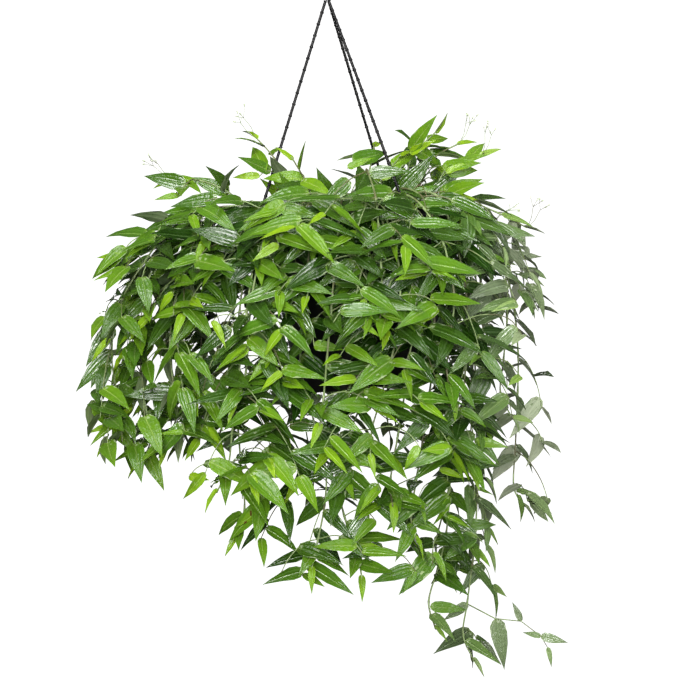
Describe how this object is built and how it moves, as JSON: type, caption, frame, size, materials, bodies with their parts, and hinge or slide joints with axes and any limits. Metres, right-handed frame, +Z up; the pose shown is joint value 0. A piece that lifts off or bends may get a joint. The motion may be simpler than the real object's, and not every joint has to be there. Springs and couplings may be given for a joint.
{
  "type": "hanging basket tahitian bridal veil",
  "caption": "Black plastic pot on a stranded hanger with a hook, overflowing with trailing leafy stems; it hangs from a bracket or rod.",
  "frame": {"origin": "inside top of the hook, where it rests on its bracket or rod", "axes": "+Z up, along the hanging height; +X to the right and +Y away from the viewer as the picture shows it"},
  "size_m": [0.4681, 0.4492, 0.738],
  "materials": {
    "black_plastic": "moulded black polypropylene, satin",
    "potting_soil": "loose dark bark and peat mix",
    "leaf": "glossy green leaves with lengthwise veins on thin green stems"
  },
  "bodies": {
    "root": {"hanger_hook": "black_plastic", "hanger_strand_1": "black_plastic", "hanger_strand_2": "black_plastic", "hanger_strand_3": "black_plastic", "pot": "black_plastic", "potting_soil": "potting_soil", "leafy_stem_01": "leaf", "leafy_stem_02": "leaf", "leafy_stem_03": "leaf", "leafy_stem_04": "leaf", "leafy_stem_05": "leaf", "leafy_stem_06": "leaf", "leafy_stem_07": "leaf", "leafy_stem_08": "leaf", "leafy_stem_09": "leaf", "leafy_stem_10": "leaf", "leafy_stem_11": "leaf", "leafy_stem_12": "leaf", "leafy_stem_13": "leaf", "leafy_stem_14": "leaf", "leafy_stem_15": "leaf", "leafy_stem_16": "leaf", "leafy_stem_17": "leaf", "leafy_stem_18": "leaf", "leafy_stem_19": "leaf", "leafy_stem_20": "leaf", "leafy_stem_21": "leaf", "leafy_stem_22": "leaf", "leafy_stem_23": "leaf", "leafy_stem_24": "leaf", "leafy_stem_25": "leaf", "leafy_stem_26": "leaf", "leafy_stem_27": "leaf", "leafy_stem_28": "leaf", "leafy_stem_29": "leaf", "leafy_stem_30": "leaf", "leafy_stem_31": "leaf", "leafy_stem_32": "leaf", "leafy_stem_33": "leaf", "leafy_stem_34": "leaf", "leafy_stem_35": "leaf", "leafy_stem_36": "leaf", "leafy_stem_37": "leaf", "leafy_stem_38": "leaf", "leafy_stem_39": "leaf", "leafy_stem_40": "leaf", "leafy_stem_41": "leaf", "leafy_stem_42": "leaf", "leafy_stem_43": "leaf", "leafy_stem_44": "leaf", "leafy_stem_45": "leaf", "leafy_stem_46": "leaf", "leafy_stem_47": "leaf", "leafy_stem_48": "leaf", "leafy_stem_49": "leaf", "leafy_stem_50": "leaf"}
  },
  "joints": []
}
